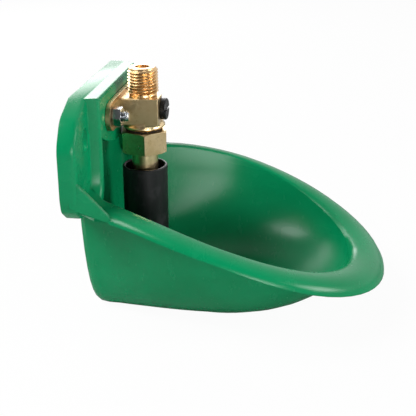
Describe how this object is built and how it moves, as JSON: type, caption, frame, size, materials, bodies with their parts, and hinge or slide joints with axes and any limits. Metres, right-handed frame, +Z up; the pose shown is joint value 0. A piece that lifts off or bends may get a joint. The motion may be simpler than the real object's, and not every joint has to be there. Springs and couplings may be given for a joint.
{
  "type": "livestock drinking bowl",
  "caption": "Wall-mounted livestock drinking bowl with an oval lip and a brass valve that a push tube opens when the animal nudges it.",
  "frame": {"origin": "bottom centre of the whole part's box: on the underside of the bowl, halfway between the wall plane and the tip of the lip, on the middle plane", "axes": "+Z up; -Y points out of the wall to the drinking lip, +Y into the wall; +X to the right seen from the front"},
  "size_m": [0.172, 0.18, 0.1398],
  "materials": {
    "green_plastic": "moulded green plastic, glossy, slightly uneven",
    "brass": "machined brass",
    "zinc_plated_steel": "bright zinc-plated steel",
    "black_plastic": "black plastic",
    "black_rubber": "black rubber",
    "stainless_steel": "turned stainless steel",
    "white_plastic": "white plastic"
  },
  "bodies": {
    "bowl_and_valve": {"bowl": "green_plastic", "valve_body": "brass", "outlet_nipple": "brass", "outlet_gasket": "black_rubber", "seat_seal": "black_rubber", "stem_spring": "stainless_steel", "inlet_strainer": "white_plastic", "mounting_bolt_left": "zinc_plated_steel", "mounting_bolt_right": "zinc_plated_steel", "bolt_washer_left": "zinc_plated_steel", "bolt_washer_right": "zinc_plated_steel", "mounting_nut_left": "zinc_plated_steel", "mounting_nut_right": "zinc_plated_steel"},
    "seal_disc": {"stem_seal_disc": "black_rubber"},
    "push_tube_and_stem": {"valve_stem": "stainless_steel", "spring_cup": "white_plastic", "stem_nut": "stainless_steel", "tube_carrier": "black_plastic", "push_tube": "black_plastic"},
    "regulator_ring": {"regulator_ring": "black_rubber"},
    "regulator_screw": {"regulator_screw": "black_plastic"}
  },
  "joints": [
    {"name": "tube_tilt_fore_and_aft", "type": "hinge", "parent": "bowl_and_valve", "child": "seal_disc", "pos_m": [0, 0.0587, 0.1098], "axis": [1, 0, 0], "range_deg": [-3.5, 3.5], "stiffness_Nm_per_rad": 1},
    {"name": "tube_tilt_sideways", "type": "hinge", "parent": "seal_disc", "child": "push_tube_and_stem", "pos_m": [0, 0.0587, 0.1098], "axis": [0, 1, 0], "range_deg": [-3.5, 3.5], "stiffness_Nm_per_rad": 1},
    {"name": "regulator_travel", "type": "slide", "parent": "bowl_and_valve", "child": "regulator_ring", "axis": [0, -1, 0], "range_m": [0, 0.001]},
    {"name": "regulator_turn", "type": "hinge", "parent": "regulator_ring", "child": "regulator_screw", "pos_m": [0, 0.0518, 0.1146], "axis": [0, -1, 0], "range_deg": [0, 363.6]}
  ],
  "couplings": [
    {"joint": "regulator_turn", "follows": "regulator_travel", "rad_per_m": 6283.2}
  ]
}
